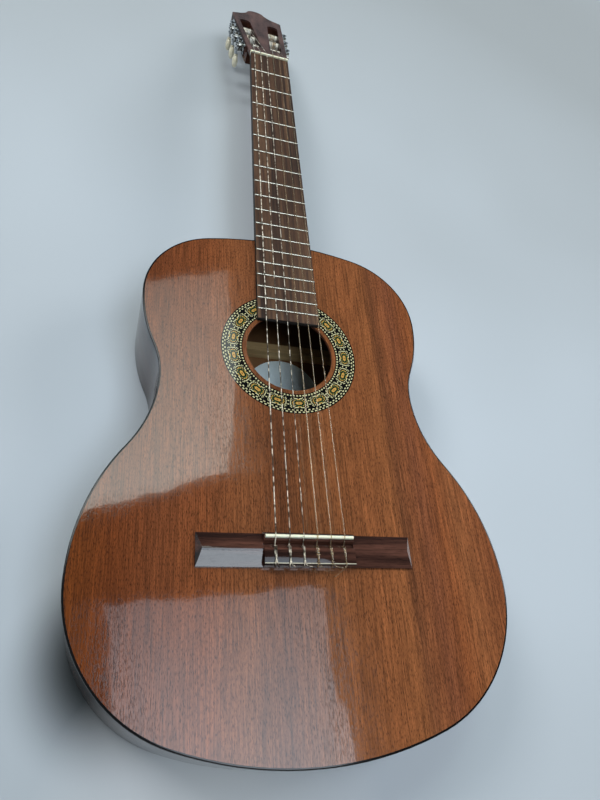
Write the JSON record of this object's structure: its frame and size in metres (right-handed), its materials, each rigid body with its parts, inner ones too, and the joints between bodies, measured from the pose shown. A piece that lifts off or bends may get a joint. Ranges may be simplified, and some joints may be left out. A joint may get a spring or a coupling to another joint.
{
  "type": "classical guitar",
  "caption": "Six-string classical guitar with a fan-braced hollow body, mosaic rosette, tie bridge and a slotted head with geared tuning machines.",
  "frame": {"origin": "centre of the guitar's length and width, on the plane that its back rests on", "axes": "+X from the bass side to the treble side, +Y along the strings towards the head, +Z out of the soundboard"},
  "size_m": [0.367, 1.0142, 0.1041],
  "materials": {
    "top_wood": "gloss lacquer",
    "body_wood": "gloss lacquer",
    "neck_wood": "satin lacquer",
    "head_wood": "gloss lacquer",
    "rosewood": "oiled",
    "inner_wood": "bare",
    "spruce": "bare",
    "rosette_mosaic": "inlaid, lacquered",
    "black_binding": "polished",
    "trim_white": "polished",
    "bone": "polished",
    "paper": "bare paper",
    "nickel_silver": "polished",
    "clear_nylon": "clear",
    "wound_silver": "wound wire",
    "chrome": "polished",
    "screw_steel": "polished",
    "gear_metal": "polished",
    "roller_plastic": "moulded",
    "button_pearl": "moulded, pearl look"
  },
  "bodies": {
    "root": {"soundboard": "top_wood", "rosette": "rosette_mosaic", "back_plate": "body_wood", "side_bass": "body_wood", "side_treble": "body_wood", "end_graft": "black_binding", "neck_block": "inner_wood", "tail_block": "inner_wood", "top_linings": "inner_wood", "back_linings": "inner_wood", "binding_top": "black_binding", "binding_back": "black_binding", "harmonic_bars": "spruce", "fan_braces": "spruce", "back_braces": "spruce", "label": "paper", "bridge": "rosewood", "tie_block_trim": "trim_white", "saddle": "bone", "neck": "neck_wood", "heel_cap": "black_binding", "fingerboard": "rosewood", "frets": "nickel_silver", "nut": "bone", "headstock": "neck_wood", "head_veneer": "head_wood", "tuner_plate_treble": "chrome", "tuner_plate_bass": "chrome", "plate_screws": "screw_steel", "string_1": "clear_nylon", "string_2": "clear_nylon", "string_3": "clear_nylon", "string_4": "wound_silver", "string_5": "wound_silver", "string_6": "wound_silver"},
    "button_shaft_1": {"worm_1": "chrome", "button_1": "button_pearl"},
    "roller_shaft_1": {"roller_1": "roller_plastic", "gear_1": "gear_metal"},
    "button_shaft_2": {"worm_2": "chrome", "button_2": "button_pearl"},
    "roller_shaft_2": {"roller_2": "roller_plastic", "gear_2": "gear_metal"},
    "button_shaft_3": {"worm_3": "chrome", "button_3": "button_pearl"},
    "roller_shaft_3": {"roller_3": "roller_plastic", "gear_3": "gear_metal"},
    "button_shaft_4": {"worm_4": "chrome", "button_4": "button_pearl"},
    "roller_shaft_4": {"roller_4": "roller_plastic", "gear_4": "gear_metal"},
    "button_shaft_5": {"worm_5": "chrome", "button_5": "button_pearl"},
    "roller_shaft_5": {"roller_5": "roller_plastic", "gear_5": "gear_metal"},
    "button_shaft_6": {"worm_6": "chrome", "button_6": "button_pearl"},
    "roller_shaft_6": {"roller_6": "roller_plastic", "gear_6": "gear_metal"}
  },
  "joints": [
    {"name": "button_turn_1", "type": "hinge", "parent": "root", "child": "button_shaft_1", "pos_m": [0.03503, 0.36582, 0.06964], "axis": [0, 0.2588, 0.9659], "continuous": true},
    {"name": "roller_turn_1", "type": "hinge", "parent": "root", "child": "roller_shaft_1", "pos_m": [0.02927, 0.35762, 0.07184], "axis": [0.9979, -0.0631, 0.0169], "continuous": true},
    {"name": "button_turn_2", "type": "hinge", "parent": "root", "child": "button_shaft_2", "pos_m": [0.03732, 0.39956, 0.0606], "axis": [0, 0.2588, 0.9659], "continuous": true},
    {"name": "roller_turn_2", "type": "hinge", "parent": "root", "child": "roller_shaft_2", "pos_m": [0.03155, 0.39136, 0.0628], "axis": [0.9979, -0.0631, 0.0169], "continuous": true},
    {"name": "button_turn_3", "type": "hinge", "parent": "root", "child": "button_shaft_3", "pos_m": [0.03961, 0.43329, 0.05157], "axis": [0, 0.2588, 0.9659], "continuous": true},
    {"name": "roller_turn_3", "type": "hinge", "parent": "root", "child": "roller_shaft_3", "pos_m": [0.03384, 0.42509, 0.05376], "axis": [0.9979, -0.0631, 0.0169], "continuous": true},
    {"name": "button_turn_4", "type": "hinge", "parent": "root", "child": "button_shaft_4", "pos_m": [-0.03961, 0.43329, 0.05157], "axis": [0, 0.2588, 0.9659], "continuous": true},
    {"name": "roller_turn_4", "type": "hinge", "parent": "root", "child": "roller_shaft_4", "pos_m": [-0.03384, 0.42509, 0.05376], "axis": [-0.9979, -0.0631, 0.0169], "continuous": true},
    {"name": "button_turn_5", "type": "hinge", "parent": "root", "child": "button_shaft_5", "pos_m": [-0.03732, 0.39956, 0.0606], "axis": [0, 0.2588, 0.9659], "continuous": true},
    {"name": "roller_turn_5", "type": "hinge", "parent": "root", "child": "roller_shaft_5", "pos_m": [-0.03155, 0.39136, 0.0628], "axis": [-0.9979, -0.0631, 0.0169], "continuous": true},
    {"name": "button_turn_6", "type": "hinge", "parent": "root", "child": "button_shaft_6", "pos_m": [-0.03503, 0.36582, 0.06964], "axis": [0, 0.2588, 0.9659], "continuous": true},
    {"name": "roller_turn_6", "type": "hinge", "parent": "root", "child": "roller_shaft_6", "pos_m": [-0.02927, 0.35762, 0.07184], "axis": [-0.9979, -0.0631, 0.0169], "continuous": true}
  ],
  "couplings": [
    {"joint": "roller_turn_1", "follows": "button_turn_1", "ratio": -0.071429},
    {"joint": "roller_turn_2", "follows": "button_turn_2", "ratio": -0.071429},
    {"joint": "roller_turn_3", "follows": "button_turn_3", "ratio": -0.071429},
    {"joint": "roller_turn_4", "follows": "button_turn_4", "ratio": -0.071429},
    {"joint": "roller_turn_5", "follows": "button_turn_5", "ratio": -0.071429},
    {"joint": "roller_turn_6", "follows": "button_turn_6", "ratio": -0.071429}
  ]
}
